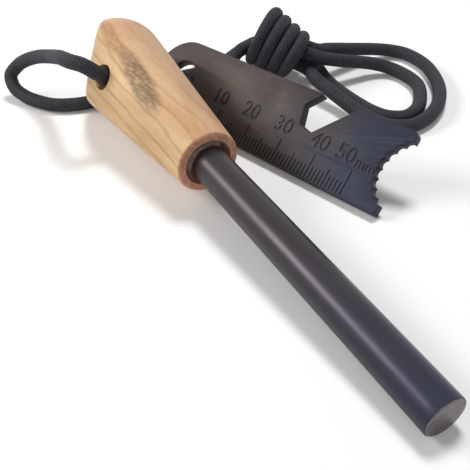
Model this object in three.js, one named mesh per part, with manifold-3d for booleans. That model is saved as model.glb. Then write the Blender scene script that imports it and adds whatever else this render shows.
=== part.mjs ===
// A ferrocerium fire starter: a round ferro rod glued into a tapered wooden handle, a flat steel
// striker with a millimetre edge, a hook notch and a toothed end, and the paracord lanyard that
// ties the two together. It lies on a table, which is the plane z = 0.
// Lengths are in millimetres. +X runs from the butt of the handle to the tip of the rod.

import * as THREE from 'three';
import { mergeVertices } from 'three/addons/utils/BufferGeometryUtils.js';
import Module from 'manifold-3d';

// Rod
const ROD_DIAMETER = 8;
const ROD_LENGTH = 100;
const ROD_EXPOSED = 71.4;
const ROD_TIP_CHAMFER = 0.5;
const ROD_LEAN_DEG = 4.77;

// Handle
const HANDLE_LENGTH = 57.6;
const HANDLE_MOUTH_DIAMETER = 14.1;
const HANDLE_BUTT_DIAMETER = 23.2;
const BUTT_DOME_LENGTH = 11.6;
const DOME_SHARPNESS = 2.15;
const MOUTH_ROUND = 0.7;
const COUNTERSINK_DIAMETER = 12.2;
const COUNTERSINK_DEPTH = 0.9;
const BORE_END_ROOM = 0.5;
const CORD_HOLE_DIAMETER = 5.8;
const CORD_HOLE_DROP = 0.7;
const CUT_BACK_SHARE = -0.4463;
const CUT_SIDE_SHARE = -0.8495;
const CUT_UP_SHARE = 0.2815;
const CUT_DISTANCE = 27.4;

// Glue between rod and bore
const GLUE_THICKNESS = 0.4;
const FIT_GAP = 0.3;

// Striker, measured from the zero of its ruler at the lower edge of its front face
const STRIKER_HEIGHT = 19.2;
const STRIKER_THICKNESS = 2.5;
const STRIKER_END = 59.2;
const STRIKER_LUG_CENTRE = -7;
const STRIKER_HOLE_DIAMETER = 8.4;
const STRIKER_ZERO_X = -33.36;
const STRIKER_ZERO_Y = 10.04;
const STRIKER_TURN_DEG = 14.13;
const STRIKER_LEAN_DEG = 45;
const NOTCH_START = 34;
const NOTCH_WIDTH = 10.2;
const NOTCH_DEPTH = 9;
const NOTCH_SHARES = [[0.19, 1], [-0.16, 0.9], [-0.3, 0.43], [0, 0.03]];
const TOOTHED_ARC_MARGIN = 2.44;
const TOOTHED_ARC_DEPTH = 4.2;
const TOOTH_COUNT = 8;
const TOOTH_DEPTH = 0.55;
const STRIKER_CORNER = 1.2;

// Lanyard
const CORD_DIAMETER = 3.4;
const CORD_SIDES = 8;
const CORD_STEP = 6.8;
const CORD_DROP = 1.3;
const KNOT_LENGTH = 17;
const KNOT_RADIUS = 9.1;
const KNOT_CORE_RADIUS = 5.9;
const KNOT_END_RADIUS = 4.6;
const KNOT_WRAPS = 4;
const KNOT_WRAP_SHARES = [0.78, 0.84, 0.93, 1];
const KNOT_SHOULDER_SHARE = 0.96;
const KNOT_X = -44;
const KNOT_Y = 45.9;
const KNOT_LIFT = 0.1;
const KNOT_TURN_DEG = 30;
const KNOT_LEAN_DEG = 9;

// Where the cord enters the handle, distances on its straight run from there to the striker's
// hole, and points that the rest of the cord passes, all from the foot of the handle's mouth
const CORD_ENTRY = new THREE.Vector3(-33.4, -9.2, 18.9);
const THROUGH_HANDLE = [0, 6, 12, 18, 23];
const THROUGH_STRIKER = [23.4, 27, 30.5];
const HANDLE_LOOP_BEFORE = [
  [-54.4, 7, 1.9], [-54.2, 3, 1.9], [-54, -2, 1.85], [-54.4, -6.7, 1.85], [-55.6, -10.6, 1.85],
  [-57.9, -14.3, 1.85], [-61.7, -17.1, 1.85], [-66.3, -19.4, 2.1], [-70.4, -20.9, 3.4],
  [-73, -20.6, 5.8], [-72.1, -18.4, 8.4], [-68.6, -16.9, 10.8], [-63.3, -15, 13.3],
  [-55.8, -13.8, 15.9], [-50, -14, 18], [-44.5, -14.4, 20], [-39.8, -14.8, 21.4],
  [-36.6, -14.3, 21.9], [-34.4, -13, 21.8], [-33.3, -11.7, 21], [-33, -10.6, 20],
];
const STRAND_UNDER = [
  [-54.45, 7.5, 1.9], [-54.6, 13, 1.9], [-54.4, 20, 1.9], [-53.9, 26, 1.9], [-53.2, 31, 2.4],
  [-53.5, 34.2, 3.2], [-53.7, 36.6, 4.2],
];
const STRAND_THROUGH_AFTER = [
  [-44.6, 22.4, 5.6], [-46.6, 28.4, 4.6], [-48.6, 32.6, 5], [-50.4, 35.9, 6.1],
];
const OUTER_BIGHT = [
  [-36, 53.3, 8.5], [-36.5, 55.9, 7.9], [-37.1, 60.7, 6.6], [-37.5, 65.4, 5.3],
  [-37.7, 70.1, 4.1], [-37.3, 75.3, 2.9], [-35.8, 79.2, 2.1], [-32.4, 81.4, 1.9], [-24.9, 81.3, 1.9],
  [-16.9, 78.3, 1.9], [-9.8, 73.7, 1.9], [-4.1, 67.7, 1.9], [-0.4, 60.8, 1.9], [0.2, 54.8, 1.9],
  [-2.8, 50.6, 1.9], [-7.1, 48.6, 2.5], [-12.1, 47.5, 3.1], [-18.2, 47.4, 3.6], [-23.4, 47, 4.4],
  [-27.8, 46.8, 5.1], [-33.9, 48.5, 5],
];
const INNER_BIGHT = [
  [-33.3, 49.4, 9], [-31.6, 50.9, 8.5], [-31.2, 54.4, 7.3], [-30.7, 58.6, 6], [-30.1, 63.4, 4.7],
  [-29.2, 67.8, 3.4], [-26.7, 71.1, 2.3], [-21.7, 72.3, 1.9], [-15.6, 71.2, 1.9], [-9.7, 67, 1.9],
  [-5.3, 61.9, 1.9], [-3.9, 56.8, 1.9], [-6.2, 53.4, 1.9], [-10.2, 51.9, 1.9], [-16, 51.5, 1.9],
  [-20.8, 51.6, 1.9], [-25.8, 52, 1.9], [-30.5, 52.1, 2.6], [-35.4, 52.3, 4.3],
];

// Facets
const ROUND_SIDES = 48;
const HOLE_SIDES = 24;
const DOME_STEPS = 9;
const ARC_STEPS = 20;
const CUT_OVERRUN = 30;

const ROD_RADIUS = ROD_DIAMETER / 2;
const BORE_RADIUS = ROD_RADIUS + FIT_GAP + GLUE_THICKNESS + FIT_GAP;
const ROD_HELD = ROD_LENGTH - ROD_EXPOSED;
const ARC_HALF = STRIKER_HEIGHT / 2 - TOOTHED_ARC_MARGIN;
const ARC_RADIUS = (ARC_HALF ** 2 + TOOTHED_ARC_DEPTH ** 2) / (2 * TOOTHED_ARC_DEPTH);
const rodLean = THREE.MathUtils.degToRad(ROD_LEAN_DEG);
const strikerTurn = THREE.MathUtils.degToRad(STRIKER_TURN_DEG);
const strikerLean = THREE.MathUtils.degToRad(STRIKER_LEAN_DEG);

const wasm = await Module();
wasm.setup();

function toManifold(geometry) {
  const bare = geometry.clone();
  bare.deleteAttribute('normal');
  bare.deleteAttribute('uv');
  const merged = mergeVertices(bare);
  return new wasm.Manifold(new wasm.Mesh({
    numProp: 3,
    vertProperties: new Float32Array(merged.attributes.position.array),
    triVerts: new Uint32Array(merged.index.array),
  }));
}

function toGeometry(manifold) {
  const mesh = manifold.getMesh();
  const geometry = new THREE.BufferGeometry();
  geometry.setAttribute('position', new THREE.BufferAttribute(new Float32Array(mesh.vertProperties), 3));
  geometry.setIndex(new THREE.BufferAttribute(new Uint32Array(mesh.triVerts), 1));
  geometry.computeVertexNormals();
  return geometry;
}

function finish(color, roughness, metalness) {
  return new THREE.MeshStandardMaterial({ color, roughness, metalness });
}

function named(name, geometry, material) {
  const mesh = new THREE.Mesh(geometry, material);
  mesh.name = name;
  return mesh;
}

// Turns a profile of [distance back from the mouth, radius] points about the axis of the rod.
// The lathe's own axis is +Y, which a quarter turn about Z lays along -X.
function turned(profile, sides) {
  const points = profile.map(([back, radius]) => new THREE.Vector2(radius, back));
  const geometry = new THREE.LatheGeometry(points, sides);
  geometry.rotateZ(Math.PI / 2);
  return geometry;
}

// Rod line: the origin is the centre of the handle's mouth and +X is the axis of the rod.
const rodLine = new THREE.Group();
rodLine.rotation.y = rodLean;
rodLine.position.z = ROD_RADIUS * Math.cos(rodLean) + ROD_EXPOSED * Math.sin(rodLean);
rodLine.updateMatrixWorld();

// Striker plane: the origin is the ruler's zero, +X runs along the ruler and +Y up the face.
const strikerHeading = new THREE.Group();
strikerHeading.rotation.z = strikerTurn;
strikerHeading.position.set(STRIKER_ZERO_X, STRIKER_ZERO_Y, STRIKER_THICKNESS * Math.cos(strikerLean));
const strikerPlane = new THREE.Group();
strikerPlane.rotation.x = strikerLean;
strikerHeading.add(strikerPlane);
strikerHeading.updateMatrixWorld();

// The cord lies low in the striker's hole, close to its edge.
const seatHeight = STRIKER_HEIGHT / 2 - CORD_DROP;
const cordSeat = new THREE.Vector3(STRIKER_LUG_CENTRE, seatHeight, -STRIKER_THICKNESS / 2);
strikerPlane.localToWorld(cordSeat);
const cordLine = cordSeat.clone().sub(CORD_ENTRY).normalize();

function handleProfile() {
  const mouth = HANDLE_MOUTH_DIAMETER / 2;
  const butt = HANDLE_BUTT_DIAMETER / 2;
  const domeStart = HANDLE_LENGTH - BUTT_DOME_LENGTH;
  const profile = [
    [ROD_HELD + BORE_END_ROOM, 0],
    [ROD_HELD + BORE_END_ROOM, BORE_RADIUS],
    [COUNTERSINK_DEPTH, BORE_RADIUS],
    [0, COUNTERSINK_DIAMETER / 2],
    [0, mouth - MOUTH_ROUND],
    [MOUTH_ROUND, mouth],
  ];
  for (let step = 0; step < DOME_STEPS; step += 1) {
    const share = step / DOME_STEPS;
    const radius = butt * (1 - share ** DOME_SHARPNESS) ** (1 / DOME_SHARPNESS);
    profile.push([domeStart + BUTT_DOME_LENGTH * share, radius]);
  }
  profile.push([HANDLE_LENGTH, 0]);
  return profile;
}

// The side of the butt is sawn off on a slant, square to this direction.
function buttCut() {
  const direction = new THREE.Vector3(CUT_BACK_SHARE, CUT_SIDE_SHARE, CUT_UP_SHARE).normalize();
  const block = new THREE.BoxGeometry(CUT_OVERRUN, 2 * HANDLE_LENGTH, 2 * HANDLE_LENGTH);
  block.translate(CUT_OVERRUN / 2 + CUT_DISTANCE, 0, 0);
  const turn = new THREE.Quaternion().setFromUnitVectors(new THREE.Vector3(1, 0, 0), direction);
  block.applyQuaternion(turn);
  return block;
}

// The lanyard hole runs beside the cord's own line, a little lower: the loop draws the cord up.
function cordHole() {
  const drop = new THREE.Vector3(0, 0, CORD_HOLE_DROP);
  const start = rodLine.worldToLocal(CORD_ENTRY.clone().sub(drop));
  const end = rodLine.worldToLocal(cordSeat.clone().sub(drop));
  const along = end.clone().sub(start);
  const length = along.length() + CUT_OVERRUN;
  const radius = CORD_HOLE_DIAMETER / 2;
  const drill = new THREE.CylinderGeometry(radius, radius, length, HOLE_SIDES);
  const turn = new THREE.Quaternion();
  turn.setFromUnitVectors(new THREE.Vector3(0, 1, 0), along.clone().normalize());
  drill.applyQuaternion(turn);
  const middle = start.add(end).multiplyScalar(1 / 2);
  drill.translate(middle.x, middle.y, middle.z);
  return drill;
}

function handle() {
  const blank = toManifold(turned(handleProfile(), ROUND_SIDES));
  const shaped = blank.subtract(toManifold(buttCut())).subtract(toManifold(cordHole()));
  return named('handle', toGeometry(shaped), finish(0xdcb68c, 0.55, 0));
}

function ferroRod() {
  const profile = [
    [-ROD_EXPOSED, 0],
    [-ROD_EXPOSED, ROD_RADIUS - ROD_TIP_CHAMFER],
    [ROD_TIP_CHAMFER - ROD_EXPOSED, ROD_RADIUS],
    [ROD_HELD - ROD_TIP_CHAMFER, ROD_RADIUS],
    [ROD_HELD, ROD_RADIUS - ROD_TIP_CHAMFER],
    [ROD_HELD, 0],
  ];
  return named('ferro_rod', turned(profile, ROUND_SIDES), finish(0x3d3d4a, 0.38, 0.8));
}

function epoxyBond() {
  const inner = ROD_RADIUS + FIT_GAP;
  const outer = inner + GLUE_THICKNESS;
  const profile = [
    [COUNTERSINK_DEPTH, inner],
    [COUNTERSINK_DEPTH, outer],
    [ROD_HELD, outer],
    [ROD_HELD, inner],
    [COUNTERSINK_DEPTH, inner],
  ];
  return named('epoxy_bond', turned(profile, ROUND_SIDES), finish(0x5a3f2a, 0.15, 0));
}

// The concave end: shallow scoops between teeth that stand on one arc.
function addTeeth(outline) {
  const arcX = STRIKER_END - TOOTHED_ARC_DEPTH + ARC_RADIUS;
  const arcY = STRIKER_HEIGHT / 2;
  const opening = Math.acos((arcX - STRIKER_END) / ARC_RADIUS);
  const scoopRadius = ARC_RADIUS + 2 * TOOTH_DEPTH;
  for (let tooth = 0; tooth < TOOTH_COUNT; tooth += 1) {
    const scoopAngle = Math.PI + opening - 2 * opening * (tooth + 1 / 2) / TOOTH_COUNT;
    const toothAngle = Math.PI + opening - 2 * opening * (tooth + 1) / TOOTH_COUNT;
    outline.quadraticCurveTo(
      arcX + scoopRadius * Math.cos(scoopAngle),
      arcY + scoopRadius * Math.sin(scoopAngle),
      arcX + ARC_RADIUS * Math.cos(toothAngle),
      arcY + ARC_RADIUS * Math.sin(toothAngle),
    );
  }
}

function strikerOutline() {
  const middle = STRIKER_HEIGHT / 2;
  const outline = new THREE.Shape();
  outline.moveTo(STRIKER_LUG_CENTRE, 0);
  outline.lineTo(STRIKER_END - STRIKER_CORNER, 0);
  outline.quadraticCurveTo(STRIKER_END, 0, STRIKER_END, STRIKER_CORNER);
  outline.lineTo(STRIKER_END, middle - ARC_HALF);
  addTeeth(outline);
  outline.lineTo(STRIKER_END, STRIKER_HEIGHT - STRIKER_CORNER);
  outline.quadraticCurveTo(STRIKER_END, STRIKER_HEIGHT, STRIKER_END - STRIKER_CORNER, STRIKER_HEIGHT);
  outline.lineTo(NOTCH_START + NOTCH_WIDTH, STRIKER_HEIGHT);
  for (const [across, down] of NOTCH_SHARES) {
    outline.lineTo(NOTCH_START + NOTCH_WIDTH * across, STRIKER_HEIGHT - NOTCH_DEPTH * down);
  }
  outline.lineTo(NOTCH_START - STRIKER_CORNER / 2, STRIKER_HEIGHT);
  outline.lineTo(STRIKER_LUG_CENTRE, STRIKER_HEIGHT);
  outline.absarc(STRIKER_LUG_CENTRE, middle, middle, Math.PI / 2, 3 * Math.PI / 2, false);
  const hole = new THREE.Path();
  hole.absarc(STRIKER_LUG_CENTRE, middle, STRIKER_HOLE_DIAMETER / 2, 0, 2 * Math.PI, true);
  outline.holes.push(hole);
  return outline;
}

function striker() {
  const geometry = new THREE.ExtrudeGeometry(strikerOutline(), {
    depth: STRIKER_THICKNESS,
    bevelEnabled: false,
    curveSegments: ARC_STEPS,
  });
  geometry.translate(0, 0, -STRIKER_THICKNESS);
  return named('striker', toGeometry(toManifold(geometry)), finish(0x504b4c, 0.45, 0.85));
}

// A length of cord: a section with flat sides carried along a smooth curve through the points.
function cord(name, points) {
  const route = new THREE.CatmullRomCurve3(points, false, 'centripetal');
  const section = new THREE.Shape();
  section.absellipse(0, 0, CORD_DIAMETER / 2, CORD_DIAMETER / 2, 0, 2 * Math.PI, false, 0);
  const geometry = new THREE.ExtrudeGeometry(section, {
    steps: Math.max(2, Math.round(route.getLength() / CORD_STEP)),
    curveSegments: CORD_SIDES / 2,
    extrudePath: route,
  });
  return named(name, geometry, finish(0x1f2024, 0.85, 0));
}

function places(points) {
  return points.map(([x, y, z]) => new THREE.Vector3(x, y, z));
}

function alongCordLine(distance) {
  return CORD_ENTRY.clone().addScaledVector(cordLine, distance);
}

// The knot: one closed form with a bulge for each wrap, lying on its side, its thin end down.
function knot() {
  const pitch = KNOT_LENGTH / KNOT_WRAPS;
  const profile = [[-KNOT_LENGTH / 2, 0], [-KNOT_LENGTH / 2, KNOT_END_RADIUS]];
  KNOT_WRAP_SHARES.forEach((share, wrap) => {
    const start = wrap * pitch - KNOT_LENGTH / 2;
    const shoulder = KNOT_RADIUS * share * KNOT_SHOULDER_SHARE;
    profile.push([start + pitch / 4, shoulder]);
    profile.push([start + pitch / 2, KNOT_RADIUS * share]);
    profile.push([start + 3 * pitch / 4, shoulder]);
    profile.push([start + pitch, wrap < KNOT_WRAPS - 1 ? KNOT_CORE_RADIUS : KNOT_END_RADIUS]);
  });
  profile.push([KNOT_LENGTH / 2, 0]);
  const mesh = named('lanyard_knot', turned(profile, HOLE_SIDES), finish(0x1f2024, 0.85, 0));
  const turn = THREE.MathUtils.degToRad(KNOT_TURN_DEG);
  const lean = THREE.MathUtils.degToRad(KNOT_LEAN_DEG);
  mesh.rotation.set(0, lean, turn, 'ZYX');
  const lowest = new THREE.Box3().setFromObject(mesh, true).min.z;
  mesh.position.set(KNOT_X, KNOT_Y, KNOT_LIFT - lowest);
  return mesh;
}

rodLine.add(handle(), ferroRod(), epoxyBond());
strikerPlane.add(striker());

const throughHandle = THROUGH_HANDLE.map(alongCordLine);
const throughStriker = THROUGH_STRIKER.map(alongCordLine);
const lanyard = new THREE.Group();
lanyard.add(
  cord('lanyard_handle_loop', [...places(HANDLE_LOOP_BEFORE), ...throughHandle]),
  cord('lanyard_strand_through_striker', [...throughStriker, ...places(STRAND_THROUGH_AFTER)]),
  cord('lanyard_strand_under_butt', places(STRAND_UNDER)),
  knot(),
  cord('lanyard_outer_bight', places(OUTER_BIGHT)),
  cord('lanyard_inner_bight', places(INNER_BIGHT)),
);

// The part's origin is on the table, under the middle of the rod, handle and striker.
const part = new THREE.Group();
part.add(rodLine, strikerHeading, lanyard);
part.updateMatrixWorld(true);
const hard = new THREE.Box3().expandByObject(rodLine, true).expandByObject(strikerHeading, true);
const middle = hard.getCenter(new THREE.Vector3());
part.position.set(-middle.x, -middle.y, -hard.min.z);

export default part;
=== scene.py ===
# %% [markdown]
# # A ferro rod fire starter
# The object is a round ferrocerium rod glued into a tapered wooden handle, and a flat steel striker
# tied to it by a braided lanyard. This lesson dresses the measured frame of the part: surfaces are
# stacks of rings or filled outlines, worked out with numpy, and every finish is made of nodes.

# %% Setup
import math

import bmesh
import bpy
import numpy as np
from mathutils import Matrix


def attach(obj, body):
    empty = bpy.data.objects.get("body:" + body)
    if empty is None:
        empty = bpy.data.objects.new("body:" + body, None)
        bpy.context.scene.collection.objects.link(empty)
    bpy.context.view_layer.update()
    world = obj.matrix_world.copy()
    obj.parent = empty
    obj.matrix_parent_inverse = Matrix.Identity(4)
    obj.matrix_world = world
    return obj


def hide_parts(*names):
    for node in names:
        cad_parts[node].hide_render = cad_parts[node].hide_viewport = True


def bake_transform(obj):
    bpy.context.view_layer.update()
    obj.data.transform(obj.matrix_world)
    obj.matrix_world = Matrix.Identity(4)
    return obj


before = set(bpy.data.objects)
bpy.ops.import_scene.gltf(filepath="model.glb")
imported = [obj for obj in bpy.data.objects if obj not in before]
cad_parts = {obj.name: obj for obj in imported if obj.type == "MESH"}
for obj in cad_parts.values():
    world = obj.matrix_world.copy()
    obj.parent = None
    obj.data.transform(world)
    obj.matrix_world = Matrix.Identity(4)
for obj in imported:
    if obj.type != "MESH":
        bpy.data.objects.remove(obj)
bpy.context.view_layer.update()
print("frame loaded:", len(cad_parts), "nodes")


def linked(name, data):
    """A new object that holds the data, in the scene."""
    thing = bpy.data.objects.new(name, data)
    bpy.context.scene.collection.objects.link(thing)
    return thing


def pose_matrix(right, up, back, place):
    """The 4 by 4 matrix whose columns are three axes and a place."""
    axes = np.eye(4)
    axes[:3] = np.stack([right, up, back, place], axis=1)
    return Matrix(axes.tolist())


# %% [markdown]
# ## Places
# The drawing of the part is in millimetres, measured on the table from under the handle's mouth.
# The frame is in metres with its origin under the middle of the hard pieces. One helper takes a
# drawn point to the frame, so that the numbers in the tables below stay readable.

# %% Units and the move from drawing to frame
MM = 0.001
DRAWING_TO_FRAME = np.array([-7.0216, -14.0597, 0.0])


def to_frame(points):
    """Drawn millimetres to frame metres: add the move, then scale by a thousandth."""
    return (np.asarray(points, float) + DRAWING_TO_FRAME) * MM


ROD_LEAN = math.radians(4.77)
ROD_RADIUS = 4.0
ROD_EXPOSED = 71.4
MOUTH_CENTRE = np.array([0, 0, ROD_RADIUS * math.cos(ROD_LEAN) + ROD_EXPOSED * math.sin(ROD_LEAN)])


def rod_line_to_frame(points):
    """Points on the rod's own line, +X from the mouth to the tip: turn by the lean, then move."""
    lean_cos, lean_sin = math.cos(ROD_LEAN), math.sin(ROD_LEAN)
    turn = np.array([[lean_cos, 0, lean_sin], [0, 1, 0], [-lean_sin, 0, lean_cos]])
    return to_frame(np.asarray(points, float) @ turn.T + MOUTH_CENTRE)


print("mouth centre in the frame, metres:", rod_line_to_frame([[0, 0, 0]]).round(5).tolist())

# %% [markdown]
# ## Camera
# The photograph looks down on the tip of the rod from close by, so the rod grows towards the
# viewer. The camera's place and axes were solved from the rod's edges and the striker's ruler.

# %% Camera
CAMERA_PLACE = (0.10891, -0.07325, 0.09139)
CAMERA_RIGHT = (0.505, 0.8627, -0.0253)
CAMERA_UP = (-0.5179, 0.3263, 0.7907)
CAMERA_BACK = (0.6904, -0.3863, 0.6116)
LENS_MM = 56.58
SENSOR_MM = 36.0
NEAREST_SEEN = 0.005

camera_data = bpy.data.cameras.new("camera")
camera_data.lens = LENS_MM
camera_data.sensor_width = SENSOR_MM
camera_data.clip_start = NEAREST_SEEN
camera = linked("camera", camera_data)
camera.matrix_world = pose_matrix(CAMERA_RIGHT, CAMERA_UP, CAMERA_BACK, CAMERA_PLACE)
bpy.context.scene.camera = camera
print("camera at", CAMERA_PLACE)

# %% [markdown]
# ## Building meshes from arrays
# Each piece is a stack of rings: an array of shape (rings, points per ring, 3). Neighbouring rings
# are joined by quads, and each end is closed by a fan to one pole, so a piece is one closed skin.

# %% Rings to a mesh
SHARP_ABOVE_DEG = 40.0


def full_turn(count):
    """Evenly spaced angles once round, without the last, which is the first again."""
    return np.linspace(0, 2 * math.pi, count, endpoint=False)


def shade(mesh, sharp_above_deg):
    """Smooth faces, with a sharp edge wherever two of them turn by more than the angle."""
    mesh.polygons.foreach_set("use_smooth", np.ones(len(mesh.polygons), bool))
    mesh.set_sharp_from_angle(angle=math.radians(sharp_above_deg))


def link_mesh(name, vertices, faces, sharp_above_deg=SHARP_ABOVE_DEG):
    """Puts points and faces in a new shaded object."""
    mesh = bpy.data.meshes.new(name)
    mesh.from_pydata(np.asarray(vertices).tolist(), [], faces)
    mesh.update()
    shade(mesh, sharp_above_deg)
    return linked(name, mesh)


def ring_quads(rings, around):
    """Quads from ring i to ring i + 1: (i, j), (i, j + 1), (i + 1, j + 1) and (i + 1, j)."""
    i, j = np.meshgrid(np.arange(rings - 1), np.arange(around), indexing="ij")
    after = (j + 1) % around
    corners = [i * around + j, i * around + after, (i + 1) * around + after, (i + 1) * around + j]
    return np.stack(corners, axis=-1).reshape(-1, 4)


def ringed_piece(name, rings, first_pole, last_pole, sharp_above_deg=SHARP_ABOVE_DEG):
    """A closed skin: the rings, quads between them, and a fan from each end ring to its pole."""
    count, around = rings.shape[:2]
    vertices = np.concatenate([rings.reshape(-1, 3), [first_pole], [last_pole]])
    j = np.arange(around)
    after = (j + 1) % around
    start = np.stack([np.full(around, count * around), after, j], axis=-1)
    base = (count - 1) * around
    end = np.stack([np.full(around, count * around + 1), base + j, base + after], axis=-1)
    faces = ring_quads(count, around).tolist() + start.tolist() + end.tolist()
    return link_mesh(name, vertices, faces, sharp_above_deg)


def give_values(piece, name, values):
    """Stores one number for each point of a mesh, for a material to read by name."""
    attribute = piece.data.attributes.new(name, "FLOAT", "POINT")
    attribute.data.foreach_set("value", np.asarray(values, np.float32))


def evaluated_mesh(piece):
    """A new mesh of an object as its modifiers leave it, or of a filled curve or text."""
    view = bpy.context.evaluated_depsgraph_get()
    view.update()
    return bpy.data.meshes.new_from_object(piece.evaluated_get(view))


print("mesh helpers ready")

# %% [markdown]
# ## The cord's weave
# Paracord is a tubular braid: strands run round it in both directions and cross over and under in
# turn. Both directions are phases of (angle, length), each strand is a low arch, and the strand on
# top at each crossing stands higher. The radius follows that height, so the weave is real geometry,
# and the material paints shade in the gaps and a highlight on the tops by the same height.

# %% Weave
CORD_RADIUS = 1.7
STRANDS_EACH_WAY = 12
SIDES = 60
RING_STEP = 0.2
FLAT_SHARE = 0.955
RELIEF_SHARE = 0.055
ARCH_SHARE = 0.9
CROSSING_SHARE = 0.35


def weave(angle, length):
    """Strand phases p and q are the angle plus or minus the length over the radius, in strands.
    Each strand's arch is the root of 1 minus its distance from the strand's middle squared, and
    the crossing term, the product of both phases' sines, lifts one strand and lowers the other."""
    around = angle * STRANDS_EACH_WAY / (2 * math.pi)
    along = length / CORD_RADIUS * STRANDS_EACH_WAY / (2 * math.pi)
    p, q = around + along, around - along
    arch_p = np.sqrt(1 - ARCH_SHARE * (2 * (p % 1) - 1) ** 2)
    arch_q = np.sqrt(1 - ARCH_SHARE * (2 * (q % 1) - 1) ** 2)
    crossing = CROSSING_SHARE * np.sin(math.pi * p) * np.sin(math.pi * q)
    return np.maximum(arch_p + crossing, arch_q - crossing)


print("weave height at angle zero:", round(float(weave(np.zeros(1), np.zeros(1))[0]), 3))

# %% [markdown]
# ## Routes
# A cord follows a smooth curve through its drawn points. A centripetal curve keeps close to them
# without loops, and it is then stepped off at an even spacing, so the weave keeps its scale.

# %% Smooth routes
CURVE_STEPS = 60
CAP_HEIGHT = CORD_RADIUS / 3
SMOOTH_ALL_DEG = 180.0


def distance_along(route):
    """How far along the route each of its points lies."""
    steps = np.linalg.norm(np.diff(route, axis=0), axis=1)
    return np.concatenate([[0], np.cumsum(steps)])


def stepped(vectors, along, step):
    """Vectors given at uneven distances along a route, read off again at even ones."""
    at = np.linspace(0, along[-1], int(along[-1] / step) + 1)
    return np.stack([np.interp(at, along, vectors[:, k]) for k in range(3)], axis=1)


def smooth_route(points, step):
    """Hermite curve through the points. Its knots are spaced by the root of each chord, the slope
    at a point is the weighted mean of its two chords' slopes, and it is stepped off evenly."""
    p = np.asarray(points, float)
    chord = np.sqrt(np.linalg.norm(np.diff(p, axis=0), axis=1))[:, None]
    slope = np.diff(p, axis=0) / chord
    inner = (slope[:-1] * chord[1:] + slope[1:] * chord[:-1]) / (chord[:-1] + chord[1:])
    tangent = np.vstack([slope[:1], inner, slope[-1:]])
    t = np.linspace(0, 1, CURVE_STEPS, endpoint=False)[None, :, None]
    a, b = p[:-1, None], p[1:, None]
    ta, tb = (tangent[:-1] * chord)[:, None], (tangent[1:] * chord)[:, None]
    curve = (2 * t**3 - 3 * t**2 + 1) * a + (t**3 - 2 * t**2 + t) * ta
    curve = curve + (3 * t**2 - 2 * t**3) * b + (t**3 - t**2) * tb
    curve = np.vstack([curve.reshape(-1, 3), p[-1:]])
    return stepped(curve, distance_along(curve), step)


def route_length(route):
    """How far along the last point lies."""
    return float(distance_along(route)[-1])


def unit(vectors):
    """Each vector divided by its length."""
    return vectors / np.linalg.norm(vectors, axis=-1, keepdims=True)


def woven_cord(name, route, outward):
    """A woven tube along the route. At each ring, the side vector is the outward hint made square
    to the route, and a point is the route's point plus the woven radius round side and up."""
    forward = unit(np.gradient(route, axis=0))
    hint = np.broadcast_to(outward, route.shape)
    side = unit(hint - (hint * forward).sum(1, keepdims=True) * forward)
    up = np.cross(forward, side)
    angle = full_turn(SIDES)
    height = weave(angle[None, :], distance_along(route)[:, None])
    radius = CORD_RADIUS * (FLAT_SHARE + RELIEF_SHARE * height)
    across, upward = np.cos(angle)[None, :, None], np.sin(angle)[None, :, None]
    spoke = across * side[:, None] + upward * up[:, None]
    rings = to_frame(route[:, None] + radius[:, :, None] * spoke)
    first = to_frame(route[0] - forward[0] * CAP_HEIGHT)
    last = to_frame(route[-1] + forward[-1] * CAP_HEIGHT)
    piece = ringed_piece(name, rings, first, last, SMOOTH_ALL_DEG)
    give_values(piece, "weave_height", np.concatenate([height.ravel(), [1.0, 1.0]]))
    return piece


print("cord helpers ready")

# %% [markdown]
# ## The lanyard
# One length of paracord makes the lanyard. From the knot it runs behind the striker, under the
# butt, round a loop at the left and back over to the lanyard hole. It comes out towards the
# striker, goes through the striker's hole and returns to the knot, and past the knot it lies in
# two loops. The runs between are drawn as four cords that end inside the knot.

# %% Where the lanyard's cords run
KNOT_CENTRE = np.array([-44.0, 45.9, 8.4])
KNOT_TURN = math.radians(30)
KNOT_LEAN = math.radians(9)
UPWARD = np.array([0, 0, 1.0])
KNOT_ACROSS = np.array([-math.sin(KNOT_TURN), math.cos(KNOT_TURN), 0])
KNOT_ALONG = np.array([
    math.cos(KNOT_TURN) * math.cos(KNOT_LEAN),
    math.sin(KNOT_TURN) * math.cos(KNOT_LEAN),
    -math.sin(KNOT_LEAN),
])
KNOT_UP = np.cross(KNOT_ALONG, KNOT_ACROSS)
CORE_OFFSET = 1.85

CORD_ENTRY = np.array([-33.4, -9.2, 18.9])
CORD_SEAT = np.array([-41.8, 14.89, 6.75])
THROUGH = unit(CORD_SEAT - CORD_ENTRY)


def in_knot(along, across, up):
    """A point of the knot, from distances along its axis, across it and up from it."""
    return KNOT_CENTRE + along * KNOT_ALONG + across * KNOT_ACROSS + up * KNOT_UP


def on_bore(distance):
    """A point on the line through the lanyard hole, at a distance from where the cord enters."""
    return CORD_ENTRY + distance * THROUGH


left_points = [
    in_knot(-3, 1.9, -1.9), in_knot(-6, 1.9, -1.9), [-52.4, 42.4, 6.6], [-53.5, 39.4, 5.4],
    [-53.7, 36.6, 4.2], [-53.5, 34.2, 3.2], [-53.2, 31, 2.4], [-53.9, 26, 1.9], [-54.4, 20, 1.9],
    [-54.6, 13, 1.9], [-54.4, 7, 1.9], [-54.2, 3, 1.9], [-54, -2, 1.85], [-54.4, -6.7, 1.85],
    [-55.6, -10.6, 1.85], [-57.9, -14.3, 1.85], [-61.7, -17.1, 1.85], [-66.3, -19.4, 2.1],
    [-70.4, -20.9, 3.4], [-73, -20.6, 5.8], [-72.1, -18.4, 8.4], [-68.6, -16.9, 10.8],
    [-63.3, -15, 13.3], [-55.8, -13.8, 15.9], [-50, -14, 18], [-44.5, -14.4, 20],
    [-39.8, -14.8, 21.4], [-36.6, -14.3, 21.9], [-34.4, -13, 21.8], [-33.3, -11.7, 21],
    [-33, -10.6, 20], on_bore(0), on_bore(6), on_bore(12),
]
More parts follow.
